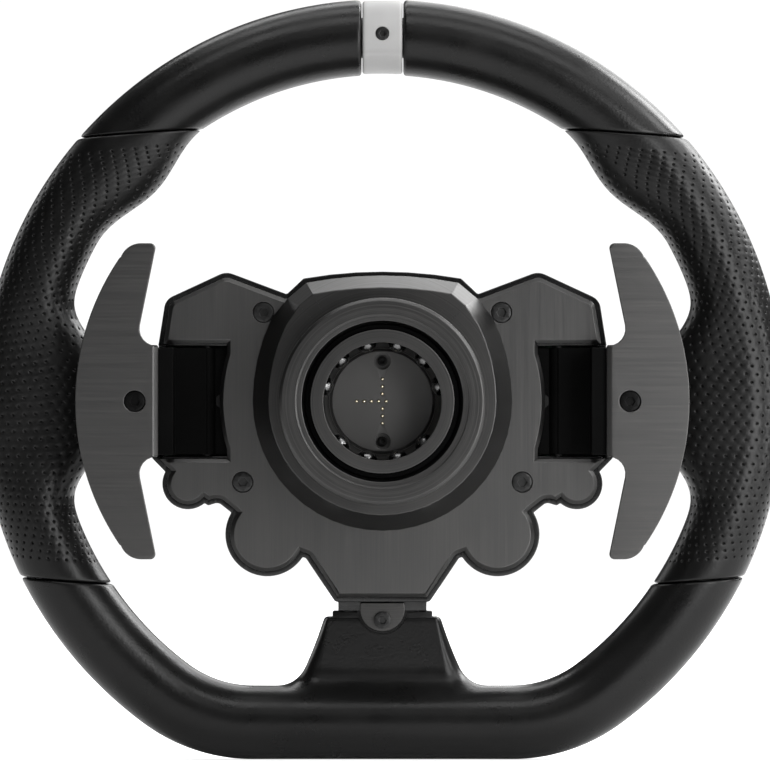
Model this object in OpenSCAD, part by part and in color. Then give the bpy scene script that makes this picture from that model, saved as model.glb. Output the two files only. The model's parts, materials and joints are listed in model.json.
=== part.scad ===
// Detachable racing wheel for a driving simulator.
// X runs across the wheel, +Z is up and +Y points at the driver. The steering axis is Y,
// and the origin is the centre of the quick release's open mouth. Left and right are the driver's,
// so left is +X. All sizes are in millimetres.

/* [Rim] */
// Outer diameter of the rim
rim_d = 280; // [276:1:284]
// Radial thickness of the upper rim
rim_w = 26.3; // [25:0.1:27]
// Depth of the rim along the steering axis
rim_depth = 30; // [28:0.5:32]
// Height of the flat bottom below the steering axis
flat_drop = 124.7; // [124:0.1:126]
// Half length of the straight stretch at the bottom
flat_half = 45.3; // [44:0.1:47]
// Width of the marker band at the top
marker_w = 14; // [10:0.5:18]
// How far the thumb rest swells inwards
thumb_swell = 6; // [3:0.5:8]
// How far the grip reaches inwards over the side spoke
spoke_wing = 19; // [12:1:22]

/* [Quick release] */
// Radius of the mouth of the socket
mouth_r = 20.2; // [20:0.1:20.4]
// Outer radius of the release collar
collar_r = 35.4; // [34.5:0.1:36]
// Travel of the release collar
collar_travel = 5.5; // [4:0.5:5.5]
// Radius of a locking ball
ball_r = 3.4; // [3.3:0.05:3.4]

/* [Controls] */
// Radius of a push button
button_r = 5; // [4:0.1:5.2]
// Travel of a push button
button_travel = 0.8; // [0.4:0.1:0.8]
// Radius of a thumb stick's cap
hat_r = 9; // [8:0.1:9.2]

/* [Hidden] */
$fn = 48;

// Depths along the steering axis, from the quick release to the driver.
boss_y = 29.5;      // rear face of the boss
plate_y = 42;       // rear face of the back plate
shell_y = 45;       // rear edge of the housing
frame_y = 50;       // rear face of the frame's plate
frame_t = 6;
rim_y = frame_y + frame_t / 2;
board_y = 57.5;
board_t = 1.6;
floor_y = 61.8;     // inside of the housing's front wall
fascia_y = 63.5;
front_y = 66.5;     // front face of the fascia
paddle_y = 24;      // rear face of the paddles
paddle_t = 3;

// Rim
rim_r = rim_d / 2;
half_w = rim_w / 2;
path_r = rim_r - half_w;
straight_d = rim_depth / 2 - half_w;     // how far the stadium profile's ends are from its middle
core_r = 7;
core_fit = 0.2;
lower_half_w = 12.75;                    // the lower wrap is a little slimmer
lower_path_drop = flat_drop - lower_half_w;
// The blend arc is tangent to the hoop and to the flat.
blend_r = (path_r * path_r - flat_half * flat_half - lower_path_drop * lower_path_drop)
    / (2 * (path_r - lower_path_drop));
blend_drop = lower_path_drop - blend_r;
blend_angle = atan2(flat_half, blend_drop);
// Seams between the wraps: planes nearly level, given by a point and a slope on the left side.
upper_seam = [84.4, 93.1, -4.1];
lower_seam = [109.9, -62.4, 4.5];
seam_gap = 0.3;
marker_half_w = 12.6;

// Quick release
nose_r = 24.6;
tube_r = 23.8;
land_r = 24.0;
ball_count = 10;
ball_y = 12;
ball_centre_r = 20.9;
ball_out = 0.28;                          // how far a ball moves out for each unit of collar travel
ball_gap = 0.05;
pocket_r = ball_r + 0.1;
guide_r = 18.2;                           // bore round the balls
lead_in_y = 3;
plate_r = 17.3;
contact_y = 19.4;
contact_t = 2.5;
ramp_r = ball_centre_r + (ball_r + ball_gap) / cos(atan(ball_out));   // collar's ramp at the balls
collar_rear_y = 1;
collar_front_y = 23;
collar_step_r = 29.6;
spring_seat_y = 16.5;
spring_room_r = 29;
spring_r = 26.3;
wire_r = 0.7;
spring_turns = 4.5;
ball_angles = [15, 45, 75, -75, -45, -15, 135, 165, -165, -135];   // clockwise from the top
pin_pitch = 2.54;
contact_screw_z = 13.8;
flange_r = 33;
bolt_ring_r = 28.5;

// Hub
plate_inset = 1.8;
fascia_inset = 1.2;
wall = 2.2;
window_z = 19.2;
window_r = 56.5;
spoke_z = 17;
lower_spoke_x = 13;
case_points = [[41.3, 30.8], [48.5, -28.1]];
front_screw_points = [[31.5, 33.5], [19.5, -56]];
small_lobe = [67.6, -28.7, 8.9];
big_lobe = [40, -46.3, 14.6];

// Paddles
pivot = [61, 46.7];
pivot_r = 1.5;
barrel_r = 3;
magnet_x = 55.6;
magnet_r = 2.5;
arm_half_z = 18.5;
hole_x = 85.4;

// Controls, on the left side
button_points = [[50.8, 34.8], [64.3, 30.8], [43, 17.5], [67.6, -28.7]];
hat_y = 62.3;
hat_point = [40, -46.3];
bar_z = [36.6, 40.2];
bar_half_x = 25;

// ---- Points and outlines ----

function unit(v) = v / norm(v);
function cross2(a, b) = a[0] * b[1] - a[1] * b[0];
function xy(p) = [p[0], p[1]];
function polar(a, r) = [r * sin(a), r * cos(a)];      // clockwise from the top
function wrap_index(i, n) = (i + n) % n;

// One corner of an outline, rounded to its third value.
function corner(prev, p, next, steps = 6) =
    let (
        e1 = unit(xy(p) - xy(prev)),
        e2 = unit(xy(next) - xy(p)),
        turn = atan2(cross2(e1, e2), e1 * e2),
        r = p[2]
    )
    (r <= 0 || abs(turn) < 1) ? [xy(p)] :
    let (
        side = sign(turn),
        start = xy(p) - e1 * r * tan(abs(turn) / 2),
        centre = start + side * r * [-e1[1], e1[0]],
        spoke = start - centre
    )
    [for (i = [0:steps])
        let (a = turn * i / steps)
        centre + [spoke[0] * cos(a) - spoke[1] * sin(a), spoke[0] * sin(a) + spoke[1] * cos(a)]];

function rounded(pts) =
    let (n = len(pts))
    [for (i = [0:n - 1]) each corner(pts[wrap_index(i - 1, n)], pts[i], pts[wrap_index(i + 1, n)])];

// Moves each corner of a clockwise outline inwards by d.
function inset(pts, d) =
    let (n = len(pts))
    [for (i = [0:n - 1])
        let (
            e1 = unit(xy(pts[i]) - xy(pts[wrap_index(i - 1, n)])),
            e2 = unit(xy(pts[wrap_index(i + 1, n)]) - xy(pts[i])),
            n1 = [e1[1], -e1[0]],
            n2 = [e2[1], -e2[0]],
            p = xy(pts[i]) + d * (n1 + n2) / (1 + n1 * n2),
            convex = cross2(e1, e2) < 0
        )
        [p[0], p[1], pts[i][2] <= 0 ? 0 : max(0.01, pts[i][2] + (convex ? -d : d))]];

// A left half, from the top to the bottom, and its mirror image.
function both_halves(half) =
    concat(half, [for (i = [len(half) - 1:-1:0]) if (half[i][0] > 0.01) [-half[i][0], half[i][1], half[i][2]]]);

top_arc = [for (x = [0, 9, 18, 27.4]) [x, 45.05 - x * x / 313, 0]];
hub_half = concat(top_arc, [
    [33.2, 37.2, 1], [54.3, 45.1, 6], [75.4, 35.3, 5], [77.9, 19.4, 0], [80.1, -19.8, 1],
    [76, -24, 2.5], [70, -30, 0], [60.6, -36.3, 1], [57, -35.2, 2.5], [52.6, -38.7, 0.6],
    [45, -46, 0], [34, -52, 0], [26.6, -54.6, 1], [16.4, -69.8, 1.5],
]);

// The boss from the top to the bottom, with its upper edge raised by rise.
function boss_half(rise) = concat(
    [for (x = [0, 9, 18]) [x, 43.6 + rise - x * x / 274, 0]],
    [[26.4, 41.05 + rise, 0.6], [32.9, 35.6 + rise, 0.6]],
    [for (a = [26:-6.5:0]) [66 * cos(a) - 21, 66 * sin(a), 0]],
    [for (a = [-7.5:-7.5:-90]) [45 * cos(a), 45 * sin(a), 0]]
);

paddle_half = [
    [77.3, 18.8, 0], [77.6, 19.2, 0], [85.1, 19.2, 5.8], [77.9, 54.5, 1.7], [112, 54.5, 0],
];

spoke_half = [
    [20.2, -75.2, 0.6], [22.6, -83, 30], [27.5, -95, 12], [33.5, -100.5, 4], [33.5, -108, 0],
];

// ---- Building blocks ----

// Extrudes an outline drawn in X and Z from depth a to depth b.
module slab(a, b) {
    translate([0, b, 0]) rotate([90, 0, 0]) linear_extrude(height = b - a) children();
}

// A round bar along Y.
module rod(a, b, r, at = [0, 0]) {
    translate([at[0], a, at[1]]) rotate([-90, 0, 0]) cylinder(h = b - a, r = r);
}

// A solid of revolution about Y, from points [radius, depth].
module turned(points) {
    rotate([-90, 0, 0]) rotate_extrude() polygon(points);
}

module mirrored_pair() {
    children();
    mirror([1, 0, 0]) children();
}

module block(x, y, z) {
    translate([x[0], y[0], z[0]]) cube([x[1] - x[0], y[1] - y[0], z[1] - z[0]]);
}

// A layer of the hub: its outline moved inwards by d, from depth a to depth b.
module hub_layer(a, b, d) {
    slab(a, b) polygon(rounded(inset(both_halves(hub_half), d)));
    mirrored_pair() for (lobe = [small_lobe, big_lobe]) rod(a, b, lobe[2] - d, xy(lobe));
}

// Sweeps a section round the steering axis, or another axis at a centre in X and Z,
// from angle a to angle b, clockwise from the top.
module hoop(radius, a, b, centre = [0, 0]) {
    translate([centre[0], rim_y, centre[1]]) rotate([-90, 0, 0])
        rotate_extrude(angle = b - a, start = a - 90) translate([radius, 0]) mirror([0, 1]) children();
}

// Removes what lies above (up = 1) or below (up = -1) a seam plane on the side given by its sign.
module beyond_seam(seam, up, side) {
    size = 120;
    gap = seam_gap / 2;
    translate([side * seam[0], rim_y, seam[1]]) rotate([0, -side * seam[2], 0])
        translate([-size / 2, -size / 2, up > 0 ? gap : -size - gap]) cube([size, size, size]);
}

// ---- Rim ----

module core_path(r) {
    hoop(path_r, -180 + blend_angle, 180 - blend_angle) circle(r = r);
    for (side = [-1, 1])
        hoop(blend_r, side > 0 ? 180 - blend_angle : 180, side > 0 ? 180 : 180 + blend_angle,
            [side * flat_half, -blend_drop]) circle(r = r);
    translate([-flat_half, rim_y, -lower_path_drop]) rotate([0, 90, 0])
        cylinder(h = 2 * flat_half, r = r);
}

module rim_core() {
    color("dimgray") difference() {
        union() {
            core_path(core_r);
            rod(frame_y, frame_y + frame_t, 38);
            block([-path_r, path_r], [frame_y, frame_y + frame_t], [-spoke_z, spoke_z]);
            block([-lower_spoke_x, lower_spoke_x], [frame_y, frame_y + frame_t], [-lower_path_drop, 0]);
        }
        rod(frame_y - 1, frame_y + frame_t + 1, 12);
        bolt_ring() rod(frame_y - 1, frame_y + frame_t + 1, 2.5);
        rod(frame_y - 1, frame_y + frame_t + 1, 1.5, tab_screw);
    }
}

// A bend of the rim's stadium section, with w its half width.
module rim_bend(w, radius, a, b, centre = [0, 0]) {
    for (y = [-straight_d, straight_d]) hoop(radius, a, b, centre) translate([0, y]) circle(r = w);
    hoop(radius, a, b, centre) square([2 * w, 2 * straight_d], center = true);
}

module upper_wrap(side) {
    color("#1b1b1d") difference() {
        rim_bend(half_w, path_r, side > 0 ? 1 : -60, side > 0 ? 60 : -1);
        core_path(core_r + core_fit);
        beyond_seam(upper_seam, -1, side);
        block([-marker_w / 2 - 0.1, marker_w / 2 + 0.1], [0, 100], [60, 160]);
    }
}

module centre_marker() {
    color("silver") difference() {
        intersection() {
            rim_bend(marker_half_w, path_r, -6, 6);
            block([-marker_w / 2, marker_w / 2], [0, 100], [60, 160]);
        }
        core_path(core_r + core_fit);
        rod(rim_y - rim_depth, rim_y - marker_half_w - straight_d + 2, 2.4, marker_screw);
        rod(rim_y - rim_depth, rim_y, 1.55, marker_screw);
    }
}

// Inner half width of the grip at an angle from the top: a thumb rest, then a wing over the spoke.
function swell(a) = abs(a - 47) < 14.2 ? thumb_swell * pow(cos(90 * (a - 47) / 14.2), 2) : 0;
function wing(a) = spoke_wing * exp(-pow(abs(a - 90) / 13.4, 4));
function grip_point(a, phi, side) =
    let (
        c = cos(phi),
        across = c > 0 ? half_w * c : (half_w + swell(a) + wing(a)) * c,
        thin = 1 - 0.12 * wing(a) / spoke_wing,
        deep = thin * rim_depth / 2 * sign(sin(phi)) * pow(abs(sin(phi)), 0.85),
        p = polar(a, path_r + across)
    ) [side * p[0], rim_y + deep, p[1]];
function bore_point(a, phi, side) =
    let (p = polar(a, path_r + (core_r + core_fit) * cos(phi)))
    [side * p[0], rim_y + (core_r + core_fit) * sin(phi), p[1]];
// Angle at which a seam plane meets a circle of radius r.
function seam_angle(seam, r) =
    let (tilt = seam[2], h = seam[1] * cos(tilt) - seam[0] * sin(tilt))
    acos(h / r) - tilt;

grip_rings = 36;
grip_sides = 20;

module grip(side) {
    ends = [for (k = [0:grip_sides - 1]) for (bore = [0, 1])
        let (
            phi = 360 * k / grip_sides,
            r = path_r + (bore == 1 ? core_r + core_fit : half_w) * cos(phi)
        )
        [seam_angle(upper_seam - [0, seam_gap / 2, 0], r), seam_angle(lower_seam + [0, seam_gap / 2, 0], r)]];
    points = [for (i = [0:grip_rings]) for (bore = [0, 1]) for (k = [0:grip_sides - 1])
        let (
            e = ends[2 * k + bore],
            a = e[0] + (e[1] - e[0]) * i / grip_rings,
            phi = 360 * k / grip_sides
        )
        bore == 1 ? bore_point(a, phi, side) : grip_point(a, phi, side)];
    n = grip_sides;
    function at(i, bore, k) = (i * 2 + bore) * n + k % n;
    skin = [for (i = [0:grip_rings - 1]) for (k = [0:n - 1]) for (bore = [0, 1]) for (half = [0, 1])
        let (
            q = [at(i, bore, k), at(i, bore, k + 1), at(i + 1, bore, k + 1), at(i + 1, bore, k)],
            t = half == 0 ? [q[0], q[1], q[2]] : [q[0], q[2], q[3]],
            flip = (bore == 1) != (side < 0)
        )
        flip ? [t[2], t[1], t[0]] : t];
    caps = [for (i = [0, grip_rings]) for (k = [0:n - 1]) for (half = [0, 1])
        let (
            q = [at(i, 0, k), at(i, 1, k), at(i, 1, k + 1), at(i, 0, k + 1)],
            t = half == 0 ? [q[0], q[1], q[2]] : [q[0], q[2], q[3]],
            flip = (i > 0) != (side < 0)
        )
        flip ? [t[2], t[1], t[0]] : t];
    color("#141416") difference() {
        polyhedron(points, concat(skin, caps));
        block([side > 0 ? 80 : -path_r, side > 0 ? path_r : -80],
            [frame_y - core_fit, frame_y + frame_t + core_fit], [-spoke_z - core_fit, spoke_z + core_fit]);
    }
}

// Each stretch is a hair slimmer than the one above it and reaches a little way into it.
module lower_bends() {
    hair = 0.04;
    reach = 1.5;
    reach_angle = 180 / PI * reach / blend_r;
    w = lower_half_w;
    half = flat_half + reach;
    for (side = [-1, 1]) {
        rim_bend(w + 2 * hair, path_r, side > 0 ? 105 : 180 + blend_angle, side > 0 ? 180 - blend_angle : 255);
        rim_bend(w + hair, blend_r, side > 0 ? 180 - blend_angle - reach_angle : 180,
            side > 0 ? 180 : 180 + blend_angle + reach_angle, [side * flat_half, -blend_drop]);
    }
    translate([-half, rim_y, -lower_path_drop]) rotate([0, 90, 0]) {
        for (y = [-straight_d, straight_d]) translate([0, y, 0]) cylinder(h = 2 * half, r = w);
        translate([-w, -straight_d, 0]) cube([2 * w, 2 * straight_d, 2 * half]);
    }
}

module lower_wrap() {
    color("#1b1b1d") difference() {
        union() {
            lower_bends();
            slab(48.6, 61) polygon(rounded(both_halves(spoke_half)));
            block([-17.4, 17.4], [48.9, 60.6], [-75.3, -73.2]);
        }
        core_path(core_r + core_fit);
        beyond_seam(lower_seam, 1, 1);
        beyond_seam(lower_seam, 1, -1);
        block([-lower_spoke_x - core_fit, lower_spoke_x + core_fit],
            [frame_y - core_fit, frame_y + frame_t + core_fit], [-lower_path_drop, 0]);
        rod(40, 60, 1.7, tab_screw);
    }
}

marker_screw = [0, 127.5];
tab_screw = [0, -76.1];

module cap_screw(a, head_r, head_t, shank_r, shank, at) {
    difference() {
        union() {
            rod(a, a + head_t, head_r, at);
            rod(a + head_t, a + head_t + shank, shank_r, at);
        }
        translate([at[0], a - 0.1, at[1]]) rotate([-90, 0, 0])
            cylinder(h = head_t * 0.6 + 0.1, r = head_r * 0.5, $fn = 6);
    }
}

module rim_screws() {
    color("#202022") {
        cap_screw(rim_y - marker_half_w - straight_d + 0.2, 2.3, 1.8, 1.5, 5, marker_screw);
        cap_screw(tab_y - 1.6, 2.9, 1.6, 1.45, 8, tab_screw);
    }
}

// ---- Hub ----

module bolt_ring() {
    for (a = [30:60:330]) translate([bolt_ring_r * cos(a), 0, bolt_ring_r * sin(a)]) children();
}

module control_holes(a, b, button, hat) {
    mirrored_pair() {
        for (p = button_points) rod(a, b, button, p);
        rod(a, b, hat, hat_point);
    }
    block([-bar_half_x, bar_half_x], [a, b], bar_z);
}

module hub_housing() {
    color("#121213") difference() {
        union() {
            difference() {
                hub_layer(shell_y, fascia_y, 0);
                hub_layer(shell_y - 1, floor_y, wall);
            }
            mirrored_pair() {
                for (z = [window_z, -window_z - 3]) block([52, 76.5], [shell_y, 57.2], [z, z + 3]);
                for (p = case_points) rod(shell_y, floor_y + 0.1, 4, p);
            }
            block([-15.4, 15.4], [48.7, 60.6], [-73, -68]);
        }
        mirrored_pair() {
            block([55, 90], [shell_y - 1, frame_y - 0.1], [-window_z, window_z]);
            block([55, 90], [frame_y - 0.2, frame_y + frame_t + 0.2], [-spoke_z - 0.2, spoke_z + 0.2]);
            translate([pivot[0], pivot[1], -30]) cylinder(h = 60, r = pivot_r + 0.02);
            for (p = case_points) rod(shell_y - 1, 58, 1.5, p);
            for (p = front_screw_points) rod(60, fascia_y + 1, 1.5, p);
        }
        block([-lower_spoke_x - 0.2, lower_spoke_x + 0.2], [frame_y - 0.2, frame_y + frame_t + 0.2], [-80, -60]);
        control_holes(floor_y - 1, fascia_y + 1, button_r + 0.3, hat_r + 0.4);
    }
}

module front_fascia() {
    color("#1a1a1c") difference() {
        union() {
            hub_layer(fascia_y, front_y, fascia_inset);
            rod(front_y, front_y + 0.8, 21);
        }
        control_holes(fascia_y - 1, front_y + 1, button_r + 0.3, hat_r + 1.4);
        mirrored_pair() for (p = front_screw_points) {
            rod(fascia_y - 1, front_y + 1, 1.6, p);
            rod(front_y - 1.6, front_y + 1, 2.8, p);
        }
    }
}

module back_plate() {
    color("#4a4a4c") difference() {
        hub_layer(plate_y, shell_y, plate_inset);
        rod(plate_y - 1, shell_y + 1, flange_r + 1);
        mirrored_pair() {
            difference() {
                block([54, 90], [plate_y - 1, shell_y + 1], [-window_z - 0.8, window_z + 0.8]);
                rod(plate_y - 2, shell_y + 2, window_r);
            }
            for (p = case_points) {
                rod(plate_y - 1, shell_y + 1, 1.6, p);
                rod(plate_y - 1, plate_y + 1.8, 3.7, p);
            }
        }
    }
}

module rear_boss() {
    color("#3c3c3e") difference() {
        hull() {
            slab(plate_y - 1, plate_y) polygon(rounded(both_halves(boss_half(0))));
            slab(boss_y, boss_y + 0.5) polygon(rounded(inset(both_halves(boss_half(1.3)), 5.6)));
        }
        rod(boss_y - 1, plate_y + 1, tube_r + 0.3);
        rod(boss_y + 3, plate_y + 1, flange_r + 1.5);
    }
}

tab_y = 46.4;
module spoke_tab() {
    color("#333335") difference() {
        rod(tab_y, 48.5, 7.8, [0, -72.3]);
        block([-9, 9], [tab_y - 1, 50], [-70.1, -60]);
        rod(tab_y - 1, 50, 1.6, tab_screw);
    }
}

module case_screws() {
    color("#19191a") mirrored_pair() {
        for (p = case_points) cap_screw(plate_y + 0.4, 3.4, 1.4, 1.45, 12, p);
        for (p = front_screw_points)
            translate([0, 2 * front_y, 0]) mirror([0, 1, 0]) cap_screw(front_y + 0.2, 2.7, 1.4, 1.45, 4.5, p);
    }
}

module main_board() {
    color("#123a22") difference() {
        hub_layer(board_y, board_y + board_t, wall + 1);
        mirrored_pair() for (p = case_points) rod(board_y - 1, board_y + 3, 4.3, p);
        rod(board_y - 1, board_y + 3, 6);
        mirrored_pair() for (p = front_screw_points) rod(board_y - 1, board_y + 3, 2, p);
    }
}

module board_switches() {
    top = board_y + board_t;
    color("#2a2a2c") mirrored_pair() {
        for (p = button_points)
            block([p[0] - 3, p[0] + 3], [top, top + 0.9], [p[1] - 3, p[1] + 3]);
        difference() {
            rod(top, hat_y + 1.9, 8.6, hat_point);
            rod(top + 0.4, hat_y + 3, 7.6, hat_point);
            translate([hat_point[0] - 10, hat_y, hat_point[1]]) rotate([0, 90, 0]) cylinder(h = 20, r = 0.65);
        }
    }
}

module light_bar() {
    color("#5a1e1e") {
        inner_z = [bar_z[0] + 0.15, bar_z[1] - 0.15];
        block([-bar_half_x + 0.15, bar_half_x - 0.15], [floor_y, front_y + 0.3], inner_z);
        block([-bar_half_x + 1, bar_half_x - 1], [floor_y - 1.2, floor_y], inner_z);
    }
}

// ---- Paddles, for the left side ----

module pivot_pins() {
    color("silver") mirrored_pair()
        translate([pivot[0], pivot[1], -window_z - 2.6]) cylinder(h = 2 * window_z + 5.2, r = pivot_r);
}

module paddle() {
    color("#4c4c4e") difference() {
        slab(paddle_y, paddle_y + paddle_t) intersection() {
            polygon(rounded(concat(
                paddle_half,
                [for (i = [len(paddle_half) - 1:-1:0])
                    [paddle_half[i][0], -paddle_half[i][1], paddle_half[i][2]]]
            )));
            paddle_edge();
        }
        edge_chamfer();
        rod(paddle_y - 1, paddle_y + paddle_t + 1, 1.7, [hole_x, 0]);
        rod(paddle_y - 1, paddle_y + 1.9, 3.7, [hole_x, 0]);
    }
}

// The outer edge of the paddle: a long arc with a rounded corner at each tip.
module paddle_edge() {
    arc_r = 87.7;
    cx = 105.9 - arc_r;
    tip_r = 7.5;
    tip_z = 54.5 - tip_r;
    tip_x = cx + sqrt(pow(arc_r - tip_r, 2) - tip_z * tip_z);
    difference() {
        translate([cx, 0]) circle(r = arc_r);
        for (s = [-1, 1]) translate([0, s * 54.5]) difference() {
            translate([tip_x, s > 0 ? -tip_r * 0.66 : 0]) square([20, tip_r * 0.66]);
            translate([tip_x, -s * tip_r]) circle(r = tip_r);
        }
    }
}

// The broad chamfer along the paddle's step edge.
module edge_chamfer() {
    chamfer_w = 1.8;
    chamfer_t = 1.2;
    translate([0, 0, -19.1]) linear_extrude(height = 38.2)
        polygon([[77, paddle_y - 0.1], [77.3 + chamfer_w, paddle_y - 0.1], [77.3 + chamfer_w, paddle_y],
            [77.3, paddle_y + chamfer_t], [77, paddle_y + chamfer_t]]);
}

module paddle_arm() {
    z = arm_half_z;
    color("#0b0b0c") difference() {
        union() {
            translate([pivot[0], pivot[1], -z]) cylinder(h = 2 * z, r = barrel_r);
            block([magnet_x - magnet_r - 0.8, pivot[0]], [pivot[1] - 0.8, pivot[1] + 1.4], [-z, z]);
            block([pivot[0], 75.2], [43.4, 46.2], [-z, z]);
            block([72.2, 75.2], [paddle_y + paddle_t, 46.2], [-z, z]);
            block([72.2, 92], [paddle_y + paddle_t, paddle_y + paddle_t + 3.2], [-z, z]);
        }
        translate([pivot[0], pivot[1], -z - 1]) cylinder(h = 2 * z + 2, r = pivot_r + 0.05);
        rod(paddle_y, 35, 1.5, [hole_x, 0]);
        rod(pivot[1] - 2, pivot[1] + 2, magnet_r, [magnet_x, 0]);
    }
}

module paddle_screw() {
    color("#151516") cap_screw(paddle_y + 0.5, 3.5, 1.4, 1.45, 4.2, [hole_x, 0]);
}

module arm_magnet() {
    color("silver") rod(pivot[1] - 0.8, pivot[1] + 1.4, magnet_r - 0.02, [magnet_x, 0]);
}

module stop_magnets() {
    color("silver") mirrored_pair() rod(pivot[1] + 1.8, frame_y, magnet_r, [magnet_x, 0]);
}

module paddle_switches() {
    color("#26262a") mirrored_pair() {
        block([67.5, 72], [47.6, frame_y], [-3, 3]);
        block([69, 70.5], [46.9, 47.6], [-0.8, 0.8]);
    }
}

// ---- Quick release ----

module at_ball(a) {
    rotate([0, a, 0]) children();
}

module qr_socket() {
    color("#3a3a3c") difference() {
        turned([
            [mouth_r, 0], [nose_r, 0], [nose_r, 3.4], [tube_r, 3.4], [tube_r, 44], [flange_r, 44],
            [flange_r, frame_y], [12, frame_y], [12, 26], [3, 26], [3, contact_y + contact_t],
            [plate_r + 0.1, contact_y + contact_t], [plate_r + 0.1, contact_y - 0.4],
            [guide_r, contact_y - 1.6], [guide_r, lead_in_y + 2.8], [mouth_r, lead_in_y],
        ]);
        for (a = ball_angles) at_ball(a) translate([0, ball_y, 14]) cylinder(h = 14, r = pocket_r);
        intersection() {
            rod(lead_in_y + 0.3, ball_y, mouth_r + 0.5);
            for (a = ball_angles) at_ball(a) rod(lead_in_y, ball_y, pocket_r, [0, ball_centre_r]);
        }
        difference() {
            rod(3.6, 4.9, 30);
            rod(3, 6, 23);
        }
        for (s = [-1, 1]) rod(20, 26.5, 1, [0, s * contact_screw_z]);
        bolt_ring() rod(40, frame_y + 1, 2.6);
    }
}

module qr_ball(k) {
    color("gainsboro") at_ball(ball_angles[k]) translate([0, ball_y, ball_centre_r]) sphere(r = ball_r);
}

function ramp(y) = ramp_r + ball_out * (ball_y - y);
land_y = ball_y + (ramp_r - land_r) / ball_out;

module qr_collar() {
    color("#4b4b4d") turned([
        [ramp(collar_rear_y), collar_rear_y], [collar_step_r, collar_rear_y], [collar_step_r, collar_rear_y - 0.4],
        [collar_r - 1, collar_rear_y - 0.4], [collar_r, collar_rear_y + 0.6], [collar_r, 17],
        [collar_r - 1.4, 18.2], [collar_r - 1.4, 21], [collar_r, 22], [collar_r, collar_front_y],
        [spring_room_r, collar_front_y], [spring_room_r, spring_seat_y], [land_r, spring_seat_y],
        [land_r, land_y],
    ]);
}

module qr_spring() {
    rings = 18 * spring_turns;
    sides = 6;
    low = spring_seat_y + wire_r;
    high = boss_y - wire_r;
    points = [for (i = [0:rings]) for (k = [0:sides - 1])
        let (
            t = 360 * spring_turns * i / rings,
            r = spring_r + wire_r * cos(360 * k / sides),
            y = low + (high - low) * i / rings + wire_r * sin(360 * k / sides)
        )
        [r * cos(t), y, r * sin(t)]];
    skin = [for (i = [0:rings - 1]) for (k = [0:sides - 1]) for (half = [0, 1])
        let (
            a = i * sides + k,
            b = i * sides + (k + 1) % sides,
            t = half == 0 ? [a, b, b + sides] : [a, b + sides, a + sides]
        )
        t];
    caps = [[for (k = [sides - 1:-1:0]) k], [for (k = [0:sides - 1]) rings * sides + k]];
    color("gray") polyhedron(points, concat(skin, caps));
}

module collar_stop_ring() {
    color("#101011") difference() {
        rod(3.7, 4.8, 26.3);
        rod(3, 6, 23.1);
    }
}

contact_spots = concat(
    [for (i = [-3, -2, -1, 1, 2, 3]) [0, i * pin_pitch]],
    [for (i = [0:4]) [(i - 3.5) * pin_pitch, 0]]
);

module contact_plate() {
    color("#38383a") difference() {
        rod(contact_y, contact_y + contact_t, plate_r);
        for (s = [-1, 1]) {
            rod(contact_y - 1, contact_y + 1.5, 2.8, [0, s * contact_screw_z]);
            rod(contact_y - 1, contact_y + 3, 1.1, [0, s * contact_screw_z]);
        }
        for (p = contact_spots) rod(contact_y - 1, contact_y + 3, 0.6, p);
    }
}

module contact_pins() {
    color("gold") for (p = contact_spots) {
        rod(contact_y - 0.1, contact_y + contact_t - 0.1, 0.58, p);
        translate([p[0], contact_y - 0.1, p[1]]) sphere(r = 0.58, $fn = 24);
    }
}

module contact_screws() {
    color("#202020") for (s = [-1, 1])
        cap_screw(contact_y + 0.3, 1.7, 1.2, 0.98, 4.5, [0, s * contact_screw_z]);
}

module qr_bolts() {
    color("#202022") bolt_ring() cap_screw(40.4, 4.2, 3.6, 2.45, 11.5, [0, 0]);
}

// ---- Controls, for the left side ----

module button_cap(k) {
    p = button_points[k];
    color(k == 3 ? "#8c1f1f" : "#2c2c30") {
        rod(floor_y - 0.8, front_y + 1.8, button_r, p);
        rod(floor_y - 0.8, floor_y - 0.1, button_r + 1, p);
    }
}

module hat_gimbal() {
    color("#303034") difference() {
        union() {
            difference() {
                rod(hat_y - 0.8, hat_y + 0.8, 6.9, hat_point);
                rod(hat_y - 1, hat_y + 1, 5.4, hat_point);
            }
            for (s = [-1, 1]) translate([hat_point[0] + s * 7.4, hat_y, hat_point[1]])
                rotate([0, 90, 0]) cylinder(h = 1.8, r = 0.6, center = true);
        }
        translate([hat_point[0], hat_y, hat_point[1] - 10]) cylinder(h = 20, r = 0.65);
    }
}

module hat_post() {
    color("#3a3a3e") {
        rod(hat_y - 1.4, 68.2, 2.2, hat_point);
        translate([hat_point[0], hat_y, hat_point[1] - 6.6]) cylinder(h = 13.2, r = 0.6);
    }
}

module hat_cap() {
    color("#18181a") translate([hat_point[0], 0, hat_point[1]]) turned([
        [2.28, 65], [3.8, 65], [3.8, 68], [hat_r - 0.6, 68], [hat_r, 68.6], [hat_r, 69.6],
        [hat_r - 1, 70.6], [hat_r - 3, 71], [0, 70.2], [0, 69], [2.28, 69],
    ]);
}

rim_core();
upper_wrap(1);  // upper_left_wrap
upper_wrap(-1);  // upper_right_wrap
grip(1);  // left_grip
grip(-1);  // right_grip
lower_wrap();
centre_marker();
rim_screws();
hub_housing();
front_fascia();
back_plate();
rear_boss();
spoke_tab();
case_screws();
main_board();
board_switches();
light_bar();
paddle_switches();
pivot_pins();
stop_magnets();
qr_socket();
qr_spring();
collar_stop_ring();
contact_plate();
contact_pins();
contact_screws();
qr_bolts();
qr_collar();
for (k = [0:ball_count - 1])
    qr_ball(k);
paddle();  // left_paddle
paddle_arm();  // left_paddle_arm
paddle_screw();  // left_paddle_screw
arm_magnet();  // left_arm_magnet
mirror([1, 0, 0]) paddle();  // right_paddle
mirror([1, 0, 0]) paddle_arm();  // right_paddle_arm
mirror([1, 0, 0]) paddle_screw();  // right_paddle_screw
mirror([1, 0, 0]) arm_magnet();  // right_arm_magnet
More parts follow.
